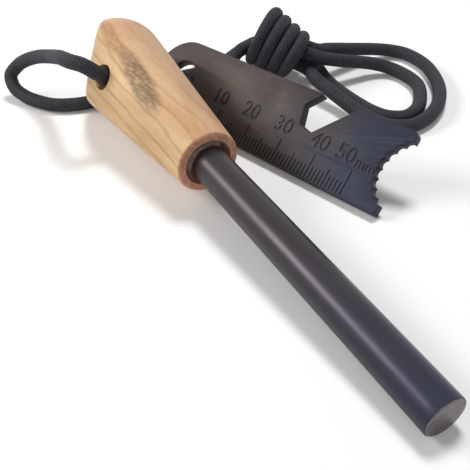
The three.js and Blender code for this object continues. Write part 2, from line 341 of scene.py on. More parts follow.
through_points = [
    on_bore(11.5), on_bore(17), on_bore(23), on_bore(27), on_bore(30.5),
    [-44.6, 22.4, 5.6], [-46.6, 28.4, 4.6], [-48.6, 32.6, 5], [-50.4, 35.9, 6.1],
    [-51, 37.9, 6.8], [-50.4, 39.8, 7.7], in_knot(-6, -1.9, -0.2), in_knot(-3, -1.9, 0.2),
]
outer_points = [
    in_knot(-2, CORE_OFFSET, CORE_OFFSET), in_knot(5, CORE_OFFSET, CORE_OFFSET),
    [-36, 53.3, 8.5], [-36.5, 55.9, 7.9], [-37.1, 60.7, 6.6], [-37.5, 65.4, 5.3],
    [-37.7, 70.1, 4.1], [-37.3, 75.3, 2.9], [-35.8, 79.2, 2.1], [-32.4, 81.4, 1.9],
    [-24.9, 81.3, 1.9], [-16.9, 78.3, 1.9], [-9.8, 73.7, 1.9], [-4.1, 67.7, 1.9],
    [-0.4, 60.8, 1.9], [0.2, 54.8, 1.9], [-2.8, 50.6, 1.9], [-7.1, 48.6, 2.5],
    [-12.1, 47.5, 3.1], [-18.2, 47.4, 3.6], [-23.4, 47, 4.4], [-27.8, 46.8, 5.1], [-33.9, 48.5, 5],
    in_knot(5, -CORE_OFFSET, -CORE_OFFSET), in_knot(-2, -CORE_OFFSET, -CORE_OFFSET),
]
inner_points = [
    in_knot(-2, -CORE_OFFSET, CORE_OFFSET), in_knot(5, -CORE_OFFSET, CORE_OFFSET),
    [-33.3, 49.4, 9], [-31.6, 50.9, 8.5], [-31.2, 54.4, 7.3], [-30.7, 58.6, 6], [-30.1, 63.4, 4.7],
    [-29.2, 67.8, 3.4], [-26.7, 71.1, 2.3], [-21.7, 72.3, 1.9], [-15.6, 71.2, 1.9], [-9.7, 67, 1.9],
    [-5.3, 61.9, 1.9], [-3.9, 56.8, 1.9], [-6.2, 53.4, 1.9], [-10.2, 51.9, 1.9], [-16, 51.5, 1.9],
    [-20.8, 51.6, 1.9], [-25.8, 52, 1.9], [-30.5, 52.1, 2.6], [-35.4, 52.3, 4.3],
    in_knot(5, CORE_OFFSET, -CORE_OFFSET), in_knot(-2, CORE_OFFSET, -CORE_OFFSET),
]
cord_routes = {
    "lanyard_left_cord": smooth_route(left_points, RING_STEP),
    "lanyard_through_cord": smooth_route(through_points, RING_STEP),
    "lanyard_outer_cord": smooth_route(outer_points, RING_STEP),
    "lanyard_inner_cord": smooth_route(inner_points, RING_STEP),
}
for name, route in cord_routes.items():
    print(name, round(route_length(route), 1), "mm")

# %% [markdown]
# ## The knot
# The knot is the cord wound four times round its own strands. A helix gives the wraps. It widens
# and climbs from right to left, each wrap leans over, and both ends dive in towards the middle.

# %% Knot wraps
WRAPS = 4
WRAP_MIDDLE = [-43.2, 46.2]
WRAP_TURN = math.radians(18.5)
WRAP_RADII = [5.2, 5.85, 6.66, 7.38]
WRAP_START, WRAP_END = [5.76, 6.99], [-7.49, 9.55]
LEAN_BY_SINE, LEAN_BY_COSINE = 3.05, -3.52
DIVE_TURNS = 0.3
DIVE_DEPTH = 2.4
HELIX_POINTS = 4000


def knot_route(step):
    """Angle runs over four turns from the bottom. Place along the axis and height move evenly with
    it, its sine and cosine lean each wrap along the axis, and the radius widens with each turn."""
    turns = np.linspace(0, WRAPS, HELIX_POINTS)
    angle = 2 * math.pi * turns - math.pi / 2
    along, height = (np.interp(turns, [0, WRAPS], ends) for ends in zip(WRAP_START, WRAP_END))
    from_end = np.minimum(turns, WRAPS - turns)
    dive = np.clip(1 - from_end / DIVE_TURNS, 0, 1) ** 2
    radius = np.interp(turns, np.arange(WRAPS) + 0.5, WRAP_RADII) - DIVE_DEPTH * dive
    along = along + LEAN_BY_SINE * np.sin(angle) + LEAN_BY_COSINE * np.cos(angle)
    axis = np.array([math.cos(WRAP_TURN), math.sin(WRAP_TURN), 0])
    across = np.array([-math.sin(WRAP_TURN), math.cos(WRAP_TURN), 0])
    spoke = np.cos(angle)[:, None] * across + np.sin(angle)[:, None] * UPWARD
    route = along[:, None] * axis + radius[:, None] * spoke + height[:, None] * UPWARD
    route[:, :2] += WRAP_MIDDLE
    length = distance_along(route)
    return stepped(route, length, step), stepped(spoke, length, step)


wrap_route, wrap_outward = knot_route(RING_STEP)
knot_wraps = woven_cord("lanyard_knot_wraps", wrap_route, wrap_outward)
print("knot cord", round(route_length(wrap_route), 1), "mm")

# %% [markdown]
# ## Making the cords
# Each cord is a woven tube along its route. The two loops go with the lanyard's body, and the two
# that join the handle to the knot keep their place in the frame, with no body.

# %% Cords
cords = {name: woven_cord(name, route, UPWARD) for name, route in cord_routes.items()}

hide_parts("lanyard_knot")
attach(knot_wraps, "lanyard")
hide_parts("lanyard_handle_loop", "lanyard_strand_under_butt")
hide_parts("lanyard_strand_through_striker")
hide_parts("lanyard_outer_bight")
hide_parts("lanyard_inner_bight")
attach(cords["lanyard_outer_cord"], "lanyard")
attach(cords["lanyard_inner_cord"], "lanyard")
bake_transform(cords["lanyard_left_cord"])
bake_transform(cords["lanyard_through_cord"])
print("cords made:", len(cords))

# %% [markdown]
# ## The handle
# The handle is a tapered round of pale wood with a domed butt, and one side of the butt is sawn
# off on a slant, where the cord comes out. As a surface it is a turned profile whose radius is
# limited by the slanted plane. A soft minimum of the two radii rounds the edge between them.

# %% Handle surface
HANDLE_LENGTH = 56.6
MOUTH_RADIUS = 7.05
BUTT_RADIUS = 11.6
DOME_LENGTH = 11.6
DOME_SHARPNESS = 2.15
LIP_ROUND = 0.7
COUNTERSINK_RADIUS = 5.3
COUNTERSINK_DEPTH = 0.9
BORE_RADIUS = 5.0
BORE_DEPTH = 29.1
BORE_RINGS_BACK = [BORE_DEPTH, 20.0, 10.0, COUNTERSINK_DEPTH]
CUT_NORMAL = unit(np.array([-0.4463, -0.8495, 0.2815]))
CUT_DISTANCE = 27.4
CUT_SOFTNESS = 1.3
CUT_LEAST_SLOPE = 0.02
CUT_FARTHEST = 60.0
HANDLE_SIDES = 160
LIP_POINTS, TAPER_POINTS, DOME_POINTS = 8, 90, 60
ALONG_ROD = np.array([1.0, 0, 0])


def handle_profile():
    """Distance back from the mouth and radius: up the bore, over the rounded lip, out along the
    taper, and round the butt on a superellipse, whose coordinates are powers of cosine and sine."""
    bore = np.array([[back, BORE_RADIUS] for back in BORE_RINGS_BACK])
    lip_angle = np.linspace(0, math.pi / 2, LIP_POINTS)
    lip = np.stack([
        LIP_ROUND * (1 - np.sin(lip_angle)),
        MOUTH_RADIUS - LIP_ROUND + LIP_ROUND * np.cos(lip_angle),
    ], axis=1)[::-1]
    dome_start = HANDLE_LENGTH - DOME_LENGTH
    taper_back = np.linspace(LIP_ROUND, dome_start, TAPER_POINTS)[1:]
    taper = np.stack([
        taper_back,
        np.interp(taper_back, [LIP_ROUND, dome_start], [MOUTH_RADIUS, BUTT_RADIUS]),
    ], axis=1)
    dome_angle = np.linspace(0, math.pi / 2, DOME_POINTS)[1:-1]
    power = 2 / DOME_SHARPNESS
    dome = np.stack([
        dome_start + DOME_LENGTH * np.sin(dome_angle) ** power,
        BUTT_RADIUS * np.cos(dome_angle) ** power,
    ], axis=1)
    return np.vstack([bore, [[0, COUNTERSINK_RADIUS]], lip, taper, dome])


def rod_spokes(sides):
    """Unit vectors square to the rod's line, (0, cosine, sine) of each angle."""
    angle = full_turn(sides)
    return np.stack([np.zeros_like(angle), np.cos(angle), np.sin(angle)], axis=-1)


def handle_rings():
    """Turned radius, softly limited by the plane's reach along each spoke, round the rod's line."""
    spoke = rod_spokes(HANDLE_SIDES)
    back, turned = np.hsplit(handle_profile(), 2)
    towards = np.maximum(spoke @ CUT_NORMAL, CUT_LEAST_SLOPE)[None, :]
    reach = np.minimum((CUT_DISTANCE + CUT_NORMAL[0] * back) / towards, CUT_FARTHEST)
    soft = -CUT_SOFTNESS * np.logaddexp(-turned / CUT_SOFTNESS, -reach / CUT_SOFTNESS)
    place = -back[:, :, None] * ALONG_ROD
    return rod_line_to_frame(place + soft[:, :, None] * spoke[None])


handle_piece = ringed_piece(
    "handle_wood",
    handle_rings(),
    rod_line_to_frame([-BORE_DEPTH, 0, 0]),
    rod_line_to_frame([-HANDLE_LENGTH, 0, 0]),
)
print("handle faces", len(handle_piece.data.polygons))

# %% [markdown]
# ### The lanyard hole
# The hole is drilled straight through the butt. A round cutter along the cord's line is taken away
# with a Boolean modifier, and the result is kept as the mesh.

# %% Lanyard hole
CORD_HOLE_RADIUS = 2.9
CORD_HOLE_DROP = np.array([0, 0, 0.7])
CUTTER_BEFORE = 12.0
CUTTER_AFTER = 26.0
CUTTER_SIDES = 48
CUTTER_RINGS = 40


def straight_rings(start, end, radius, sides, count):
    """Circles of one radius, evenly spaced from start to end, square to the line between them."""
    forward = unit(end - start)
    side = unit(np.cross(forward, UPWARD))
    up = np.cross(forward, side)
    angle = full_turn(sides)
    spoke = np.cos(angle)[:, None] * side + np.sin(angle)[:, None] * up
    centre = start + np.linspace(0, 1, count)[:, None] * (end - start)
    return centre[:, None] + radius * spoke[None]


def cut_away(piece, cutter):
    """Takes the cutter away from the piece with an exact Boolean, and keeps the result."""
    modifier = piece.modifiers.new("cut", "BOOLEAN")
    modifier.operation = "DIFFERENCE"
    modifier.solver = "EXACT"
    modifier.object = cutter
    cut = evaluated_mesh(piece)
    piece.modifiers.clear()
    old = piece.data
    piece.data = cut
    bpy.data.meshes.remove(old)
    bpy.data.objects.remove(cutter)


drill_start = on_bore(-CUTTER_BEFORE) - CORD_HOLE_DROP
drill_end = on_bore(CUTTER_AFTER) - CORD_HOLE_DROP
drill_rings = straight_rings(drill_start, drill_end, CORD_HOLE_RADIUS, CUTTER_SIDES, CUTTER_RINGS)
drill = ringed_piece("drill", to_frame(drill_rings), to_frame(drill_start), to_frame(drill_end))
cut_away(handle_piece, drill)
handle_piece.data.set_sharp_from_angle(angle=math.radians(SHARP_ABOVE_DEG))
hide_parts("handle")
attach(handle_piece, "grip")
print("handle faces after drilling", len(handle_piece.data.polygons))

# %% [markdown]
# ## The rod and its glue
# The rod is a plain bar with sawn ends and a small chamfer. Round its root, brown glue fills the
# mouth of the bore and climbs the rod a little, as a liquid does before it sets.

# %% Rod and glue
ROD_HELD = 28.6
ROD_CHAMFER = 0.35
CORNER_POINTS = 6
ROD_SIDES = 128
ROD_RINGS = 60
ROD_SHARP_DEG = 30.0
TIP_FACE_SHARES = (0.25, 0.5, 0.75)
GLUE_SHARP_DEG = 60.0
GLUE_SECTION = np.array([
    [0.5, 4.02], [0.2, 4.08], [-0.05, 4.2], [-0.28, 4.45], [-0.42, 4.75], [-0.5, 5.05],
    [-0.5, 5.35], [-0.85, 4.98], [-6, 4.98], [-6, 4.02],
])


def rounded_corner(end, height, radius):
    """A quarter circle from (end, height - radius) back to (end - radius, height)."""
    angle = np.linspace(0, math.pi / 2, CORNER_POINTS)
    inset = radius * (1 - np.stack([np.cos(angle), np.sin(angle)], axis=1))
    return np.array([end, height]) - inset


def turned_rings(profile):
    """Each pair of place and radius carried once round the rod's line."""
    place, radius = np.asarray(profile, float).T
    spoke = rod_spokes(ROD_SIDES)
    return place[:, None, None] * ALONG_ROD + radius[:, None, None] * spoke[None]


def rod_profile():
    """From the tip back into the handle: flat face, rounded chamfer, straight bar."""
    tip = rounded_corner(ROD_EXPOSED, ROD_RADIUS, ROD_CHAMFER)
    bar_place = np.linspace(ROD_EXPOSED - ROD_CHAMFER, -ROD_HELD, ROD_RINGS)[1:]
    bar = np.stack([bar_place, np.full_like(bar_place, ROD_RADIUS)], axis=1)
    face = [[ROD_EXPOSED, share * (ROD_RADIUS - ROD_CHAMFER)] for share in TIP_FACE_SHARES]
    return np.vstack([face, tip, bar])


rod_piece = ringed_piece(
    "ferro_rod_bar",
    rod_line_to_frame(turned_rings(rod_profile())),
    rod_line_to_frame([ROD_EXPOSED, 0, 0]),
    rod_line_to_frame([-ROD_HELD, 0, 0]),
    ROD_SHARP_DEG,
)
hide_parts("ferro_rod")
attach(rod_piece, "grip")


def glue_ring():
    """The section's points carried round the rod's line, and the last ring joined to the first."""
    rings = turned_rings(GLUE_SECTION)
    quads = ring_quads(len(rings) + 1, ROD_SIDES) % (len(rings) * ROD_SIDES)
    points = rod_line_to_frame(rings).reshape(-1, 3)
    return link_mesh("glue_bead", points, quads.tolist(), GLUE_SHARP_DEG)


glue_piece = glue_ring()
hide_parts("epoxy_bond")
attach(glue_piece, "grip")
print("rod faces", len(rod_piece.data.polygons), "glue faces", len(glue_piece.data.polygons))

# %% [markdown]
# ## The striker
# The striker is stamped from 2.5 mm plate: a round lug with the lanyard hole, a ruler edge, a hook
# notch and a toothed hollow end. Its outline is drawn as a flat curve with a hole, extruded with a
# small bevel, and made a mesh, because a filled curve closes both faces round any notch.

# %% Striker outline
PLATE_HEIGHT = 19.2
PLATE_THICKNESS = 2.5
PLATE_END = 59.2
PLATE_EDGE = 0.28
LUG_CENTRE = -7.0
LUG_HOLE_RADIUS = 4.2
NOTCH_START = 34.0
NOTCH_WIDTH = 10.2
NOTCH_DEPTH = 9.0
NOTCH_SHARES = [(0.19, 1), (-0.16, 0.9), (-0.3, 0.43), (0, 0.03)]
ARC_RADIUS = 8.2
ARC_DEPTH = 4.2
TEETH = 8
TOOTH_DEPTH = 0.55
PLATE_CORNER = 1.2
POINTS_PER_TOOTH = 6
LUG_POINTS = 48


def on_circle(centre_x, radius, angle):
    """Points at the angles round a centre halfway up the plate."""
    centre = np.array([centre_x, PLATE_HEIGHT / 2])
    return centre + np.stack([radius * np.cos(angle), radius * np.sin(angle)], axis=1)


def toothed_arc():
    """Teeth stand on one arc, and between two teeth a parabola dips by the tooth's depth."""
    centre_x = PLATE_END - ARC_DEPTH + ARC_RADIUS
    opening = math.acos((centre_x - PLATE_END) / ARC_RADIUS)
    t = np.linspace(0, TEETH, TEETH * POINTS_PER_TOOTH + 1)
    within = t % 1
    radius = ARC_RADIUS + 4 * TOOTH_DEPTH * within * (1 - within)
    return on_circle(centre_x, radius, math.pi + opening - 2 * opening * t / TEETH)


def plate_outline():
    """Ruler edge, toothed end, rounded top corner, notch, and the lug's half circle, in order."""
    top_corner = rounded_corner(PLATE_END, PLATE_HEIGHT, PLATE_CORNER)
    notch_along, notch_down = np.array([(1, 0), *NOTCH_SHARES]).T
    notch = np.stack([
        NOTCH_START + NOTCH_WIDTH * notch_along,
        PLATE_HEIGHT - NOTCH_DEPTH * notch_down,
    ], axis=1)
    hook_end = [[NOTCH_START - PLATE_CORNER / 2, PLATE_HEIGHT]]
    half = np.linspace(math.pi / 2, 3 * math.pi / 2, LUG_POINTS)
    lug = on_circle(LUG_CENTRE, PLATE_HEIGHT / 2, half)
    return np.vstack([[[PLATE_END, 0]], toothed_arc(), top_corner, notch, hook_end, lug])


outline = plate_outline()
print("outline points", len(outline))

# %% [markdown]
# ### From outline to plate
# The plate leans back by 45 degrees on its lower edge, turned a little from the rod's line. The
# curve's bevel grows the outline, so the outline is first drawn smaller by the same offset.

# %% Striker plate
PLATE_TURN = math.radians(14.13)
PLATE_LEAN = math.radians(45)
PLATE_ZERO = np.array([-33.36, 10.04, PLATE_THICKNESS * math.cos(PLATE_LEAN)])
PLATE_SHARP_DEG = 25.0
LUG_HOLE_SIDES = 64
PLATE_WELD = 0.001


def plate_to_frame(points):
    """Plate coordinates, along the ruler, up the face and out of it, leaned, turned and moved."""
    lean_cos, lean_sin = math.cos(PLATE_LEAN), math.sin(PLATE_LEAN)
    turn_cos, turn_sin = math.cos(PLATE_TURN), math.sin(PLATE_TURN)
    lean = np.array([[1, 0, 0], [0, lean_cos, -lean_sin], [0, lean_sin, lean_cos]])
    turn = np.array([[turn_cos, -turn_sin, 0], [turn_sin, turn_cos, 0], [0, 0, 1]])
    return to_frame(np.asarray(points, float) @ (turn @ lean).T + PLATE_ZERO)


def mesh_points(mesh):
    """All points of a mesh as one array."""
    flat = np.zeros(len(mesh.vertices) * 3, np.float32)
    mesh.vertices.foreach_get("co", flat)
    return flat.reshape(-1, 3).astype(float)


def set_mesh_points(mesh, points):
    """Puts all points of a mesh at new places."""
    mesh.vertices.foreach_set("co", points.astype(np.float32).ravel())


def made_mesh(curve):
    """The mesh of a curve or a text, which is then thrown away."""
    holder = linked(curve.name, curve)
    mesh = evaluated_mesh(holder)
    bpy.data.objects.remove(holder)
    bpy.data.curves.remove(curve)
    return mesh


def flat_curve(name, loops, thickness, edge):
    """Closed loops as one filled curve, extruded to both sides and bevelled, then made a mesh."""
    curve = bpy.data.curves.new(name, "CURVE")
    curve.dimensions = "2D"
    curve.fill_mode = "BOTH"
    curve.extrude = thickness / 2 - edge
    curve.bevel_depth = edge
    curve.bevel_resolution = 2
    curve.offset = -edge
    for loop in loops:
        spline = curve.splines.new("POLY")
        spline.points.add(len(loop) - 1)
        flat = np.concatenate([loop, np.zeros((len(loop), 1)), np.ones((len(loop), 1))], axis=1)
        spline.points.foreach_set("co", flat.ravel())
        spline.use_cyclic_u = True
    return made_mesh(curve)


def weld(mesh, distance):
    """Merges points that lie together and makes all faces point outwards."""
    work = bmesh.new()
    work.from_mesh(mesh)
    bmesh.ops.remove_doubles(work, verts=work.verts, dist=distance)
    bmesh.ops.dissolve_degenerate(work, edges=work.edges, dist=distance / 10)
    bmesh.ops.recalc_face_normals(work, faces=work.faces)
    work.to_mesh(mesh)
    work.free()


lug_hole = on_circle(LUG_CENTRE, LUG_HOLE_RADIUS, full_turn(LUG_HOLE_SIDES))
plate_mesh = flat_curve("striker_plate", [outline, lug_hole], PLATE_THICKNESS, PLATE_EDGE)
weld(plate_mesh, PLATE_WELD)
plate_points = mesh_points(plate_mesh) - [0, 0, PLATE_THICKNESS / 2]
print("plate box, mm:", plate_points.min(0).round(2), plate_points.max(0).round(2))
set_mesh_points(plate_mesh, plate_points)
striker_piece = linked("striker_plate", plate_mesh)

# %% [markdown]
# ### The ruler
# Millimetre marks and plain numbers are pressed into the face. Each mark is a narrow bar, each
# number is a text made a mesh, and they are cut from the plate to one shallow depth. The figures
# are thickened a little, but for the 4, whose outline would cross itself.

# %% Ruler marks and numbers
MARK_START = 0.55
MARK_WIDTH = 0.3
MARK_DEPTH = 0.16
MARK_LENGTH, FIVES_LENGTH, TENS_LENGTH = 2.9, 4.1, 5.7
MARK_WELD = 0.0001
MARKS = 50
NUMBER_PLACES = {"10": 8.6, "20": 18.5, "30": 28.9, "4": 38.3, "0": 40.9, "50": 46.9}
NUMBER_MIDDLE, NUMBER_HEIGHT = 9.3, 3.6
UNIT_PLACE, UNIT_MIDDLE, UNIT_HEIGHT = 52.3, 8.2, 2.4
LETTER_WEIGHT = 0.1
NOT_THICKENED = "4"
LETTER_WELD = 0.0005
CAPITAL_SHARE = 0.7
PRESSED_LOW = np.array([0.5, 0.4, -0.5])
PRESSED_HIGH = np.array([55, 12.5, -0.02])
BOX_CORNERS = np.array([
    [-1, 0, -1], [1, 0, -1], [1, 1, -1], [-1, 1, -1], [-1, 0, 1], [1, 0, 1], [1, 1, 1], [-1, 1, 1],
])
BOX_FACES = np.array([
    [3, 2, 1, 0], [4, 5, 6, 7], [0, 1, 5, 4], [1, 2, 6, 5], [2, 3, 7, 6], [3, 0, 4, 7],
])


def mark_boxes():
    """One box for each millimetre: the mark's place plus the box's corners times its half width,
    its length and its depth."""
    at = np.arange(1, MARKS + 1)
    length = np.select([at % 10 == 0, at % 5 == 0], [TENS_LENGTH, FIVES_LENGTH], MARK_LENGTH)
    size = np.stack([np.full(MARKS, MARK_WIDTH / 2), length, np.full(MARKS, MARK_DEPTH)], axis=1)
    start = np.stack([at, np.full(MARKS, MARK_START), np.zeros(MARKS)], axis=1)
    corners = start[:, None] + size[:, None] * BOX_CORNERS
    faces = BOX_FACES[None] + len(BOX_CORNERS) * np.arange(MARKS)[:, None, None]
    return corners.reshape(-1, 3), faces.reshape(-1, 4).tolist()


def text_mesh(words, middle_x, middle_y, height):
    """A word as a closed mesh, centred on its place and as deep as the marks."""
    curve = bpy.data.curves.new("word", "FONT")
    curve.body = words
    curve.size = height / CAPITAL_SHARE
    curve.extrude = MARK_DEPTH
    curve.offset = 0 if words == NOT_THICKENED else LETTER_WEIGHT
    curve.resolution_u = 3
    curve.align_x = "CENTER"
    mesh = made_mesh(curve)
    weld(mesh, LETTER_WELD)
    points = mesh_points(mesh)
    low, high = points.min(0), points.max(0)
    points[:, :2] += np.array([middle_x, middle_y]) - (low[:2] + high[:2]) / 2
    set_mesh_points(mesh, points)
    return mesh


mark_points, mark_faces = mark_boxes()
marks = bpy.data.meshes.new("marks")
marks.from_pydata(mark_points.tolist(), [], mark_faces)
weld(marks, MARK_WELD)
numbers = [
    text_mesh(words, place, NUMBER_MIDDLE, NUMBER_HEIGHT) for words, place in NUMBER_PLACES.items()
]
unit_mark = text_mesh("mm", UNIT_PLACE, UNIT_MIDDLE, UNIT_HEIGHT)
for stamp in [marks, *numbers, unit_mark]:
    cut_away(striker_piece, linked("stamp", stamp))
stamped = mesh_points(striker_piece.data)
sunk = ((stamped > PRESSED_LOW) & (stamped < PRESSED_HIGH)).all(axis=1)
give_values(striker_piece, "pressed_in", sunk.astype(float))
set_mesh_points(striker_piece.data, plate_to_frame(stamped))
shade(striker_piece.data, PLATE_SHARP_DEG)
striker_piece.data.update()
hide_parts("striker")
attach(striker_piece, "striker")
print("striker faces", len(striker_piece.data.polygons))

# %% [markdown]
# ## Finishes
# Each finish is a small network of nodes on Object coordinates or on numbers stored in the mesh. A
# short helper adds a node with its settings and joins it to what feeds it.

# %% Node helpers
BLACK, WHITE = (0, 0, 0, 1), (1, 1, 1, 1)


def linear(red, green, blue_reflection):
    """A colour as read off a screen, from 0 to 255, as the light it stands for."""
    c = np.array([red, green, blue_reflection]) / 255
    light = np.where(c <= 0.04045, c / 12.92, ((c + 0.055) / 1.055) ** 2.4)
    return (*light.tolist(), 1.0)


def new_finish(name):
    """A new material, its nodes, and the sockets of its one Principled shader."""
    material = bpy.data.materials.new(name)
    material.use_nodes = True
    tree = material.node_tree
    return material, tree, tree.nodes["Principled BSDF"].inputs


def fill(tree, sockets, feeds):
    """Gives each named socket a value, or a link from another socket."""
    for key, value in feeds.items():
        if isinstance(value, bpy.types.NodeSocket):
            tree.links.new(value, sockets[key])
        else:
            sockets[key].default_value = value


def add(tree, kind, settings=None, feeds=None):
    """Adds a node, sets its properties and fills its sockets."""
    node = tree.nodes.new(kind)
    for key, value in (settings or {}).items():
        setattr(node, key, value)
    fill(tree, node.inputs, feeds or {})
    return node


def ramp(tree, factor, stops):
    """A colour ramp from a list of (place, colour)."""
    node = add(tree, "ShaderNodeValToRGB", feeds={"Fac": factor})
    elements = node.color_ramp.elements
    while len(elements) < len(stops):
        elements.new(0.5)
    for element, (place, colour) in zip(elements, stops):
        element.position = place
        element.color = colour
    return node.outputs["Color"]


def mixed(tree, factor, first, second, blend="MIX"):
    """Mixes two colours, by the sockets that the node has in use for colours."""
    node = add(tree, "ShaderNodeMix", {"data_type": "RGBA", "blend_type": blend})
    in_use = {socket.name: socket for socket in node.inputs if socket.enabled}
    fill(tree, in_use, {"Factor": factor, "A": first, "B": second})
    return next(socket for socket in node.outputs if socket.enabled)


def maths(tree, operation, first, second=0.0, clamp=False):
    """One sum of two numbers or sockets."""
    settings = {"operation": operation, "use_clamp": clamp}
    return add(tree, "ShaderNodeMath", settings, {0: first, 1: second}).outputs[0]


def graded(tree, value, zero, gain, base=0.0, clamp=False):
    """The base plus the gain times what the value has over its zero."""
    settings = {"operation": "MULTIPLY_ADD", "use_clamp": clamp}
    feeds = {0: value, 1: gain, 2: base - zero * gain}
    return add(tree, "ShaderNodeMath", settings, feeds).outputs[0]


def noise(tree, vector, scale, detail=2.0, rough=0.5, distortion=0.0):
    """Noise at a scale, as a number from 0 to 1."""
    return add(tree, "ShaderNodeTexNoise", feeds={
        "Vector": vector, "Scale": scale, "Detail": detail, "Roughness": rough,
        "Distortion": distortion,
    }).outputs["Fac"]


def object_place(tree):
    """Object coordinates."""
    return add(tree, "ShaderNodeTexCoord").outputs["Object"]


def mapped(tree, vector, move=(0, 0, 0), turn=(0, 0, 0), scale=(1, 1, 1)):
    """A vector scaled, then turned, then moved."""
    feeds = {"Vector": vector, "Location": move, "Rotation": turn, "Scale": scale}
    return add(tree, "ShaderNodeMapping", {"vector_type": "POINT"}, feeds).outputs["Vector"]


def parts_of(tree, vector):
    """The X, Y and Z of a vector."""
    return add(tree, "ShaderNodeSeparateXYZ", feeds={"Vector": vector}).outputs


def stored(tree, name):
    """A number stored at each point of the mesh."""
    return add(tree, "ShaderNodeAttribute", {"attribute_name": name}).outputs["Fac"]


def bumped(tree, height, strength, distance):
    """A bump from a height."""
    feeds = {"Height": height, "Strength": strength, "Distance": distance}
    return add(tree, "ShaderNodeBump", feeds=feeds).outputs["Normal"]


print("node helpers ready")

# %% [markdown]
# ### Braided nylon
# The cord is near black. The gaps of the weave get painted shade, and lighter flecks are a
# painted highlight where a strand comes to the top and catches the light. The stored weave height
# gives the shade and the flecks, and noise breaks them up.

# %% Cord finish
# The first colour is painted shade for the gaps of the weave, the last a painted highlight for the
# strands' tops.
CORD_GAP_PAINTED_SHADE, CORD_SIDE, CORD_TOP_PAINTED_HIGHLIGHT = linear(8, 8, 10), linear(22, 22, 26), linear(56, 56, 63)


def cord_finish():
    """Painted shade in the gaps, charcoal strands, painted highlight on top, little shine."""
    material, tree, shader = new_finish("braided nylon")
    place = object_place(tree)
    patches = noise(tree, place, scale=900.0, detail=3.0, rough=0.6)
    fibre = noise(tree, place, scale=6000.0, detail=2.0, rough=0.6)
    # The stored weave height sets where the painted shade and the painted highlight fall.
    height = maths(tree, "ADD", stored(tree, "weave_height"), graded(tree, patches, 0.5, 0.5))
    fill(tree, shader, {
        "Base Color": ramp(tree, height, [(0.45, CORD_GAP_PAINTED_SHADE), (0.78, CORD_SIDE), (1.0, CORD_TOP_PAINTED_HIGHLIGHT)]),
        "Roughness": 0.7,
        "Specular IOR Level": 0.25,
        "Normal": bumped(tree, fibre, strength=0.25, distance=0.0001),
    })
    return material


nylon = cord_finish()
for piece in [*cords.values(), knot_wraps]:
    piece.data.materials.append(nylon)
print("finish:", nylon.name)

# %% [markdown]
# ### Wood
# The handle is a pale, warm wood. Light and shade by side are painted in: the left flank is painted
# yellower and lighter, the right pinker and greyer. A brown-grey figure lies on top towards the
# butt, and fine growth lines run along it, fainter on the painted right side. The sawn ring at the
# mouth has drunk glue and oil, so it is red-brown.

# %% Wood finish
WOOD_DARK, WOOD_MIDDLE = linear(196, 160, 124), linear(220, 188, 152)
WOOD_PALE = linear(236, 208, 174)
# The left, top and right tints are painted light and shade for the handle's sides: lighter and
# yellower on the left, greyer and darker on the right.
LEFT_FLANK_PAINTED_LIGHT, TOP_PAINTED_LIGHT = linear(255, 248, 226), linear(246, 234, 222)
RIGHT_FLANK_PAINTED_SHADE = linear(232, 216, 210)
GROWTH_LINE, PORE = linear(150, 105, 66), linear(140, 98, 68)
MOUTH_DARK, MOUTH_PALE = linear(166, 112, 88), linear(214, 158, 128)
FIGURES = [
    {"centre": (-0.0235, -0.0042, 0.0084), "size": (0.0125, 0.0028, 0.006),
     "slant": -0.15, "strength": 0.85, "colour": linear(112, 90, 72)},
    {"centre": (-0.0385, -0.0032, 0.0105), "size": (0.0125, 0.0017, 0.006),
     "slant": -0.1, "strength": 0.5, "colour": linear(150, 100, 76)},
]


def on_rod_line(tree, squeeze=1.0):
    """Object coordinates from the mouth's centre, squeezed in X, then turned to the rod's line."""
    centred = mapped(tree, object_place(tree), move=tuple(-rod_line_to_frame([0, 0, 0])))
    return mapped(tree, centred, turn=(0, -ROD_LEAN, 0), scale=(squeeze, 1, 1))


def figure_mask(tree, part, figure, tone):
    """Twice what 1.15 has over the distance from the patch's centre, which is counted in half
    sizes and is made longer or shorter by the grain."""
    centre, size = figure["centre"], figure["size"]
    along = graded(tree, part["X"], centre[0], 1 / size[0])
    drift = graded(tree, part["X"], centre[0], figure["slant"], centre[1])
    across = maths(tree, "DIVIDE", maths(tree, "SUBTRACT", part["Y"], drift), size[1])
    below = graded(tree, part["Z"], centre[2], -1 / size[2])
    squares = [maths(tree, "MULTIPLY", side, side) for side in (along, across)]
    far = maths(tree, "SQRT", maths(tree, "ADD", *squares))
    far = maths(tree, "ADD", far, maths(tree, "MAXIMUM", below, 0.0))
    far = maths(tree, "ADD", far, graded(tree, tone, 0.5, 1.6))
    return graded(tree, far, 1.15, -2.0, clamp=True)


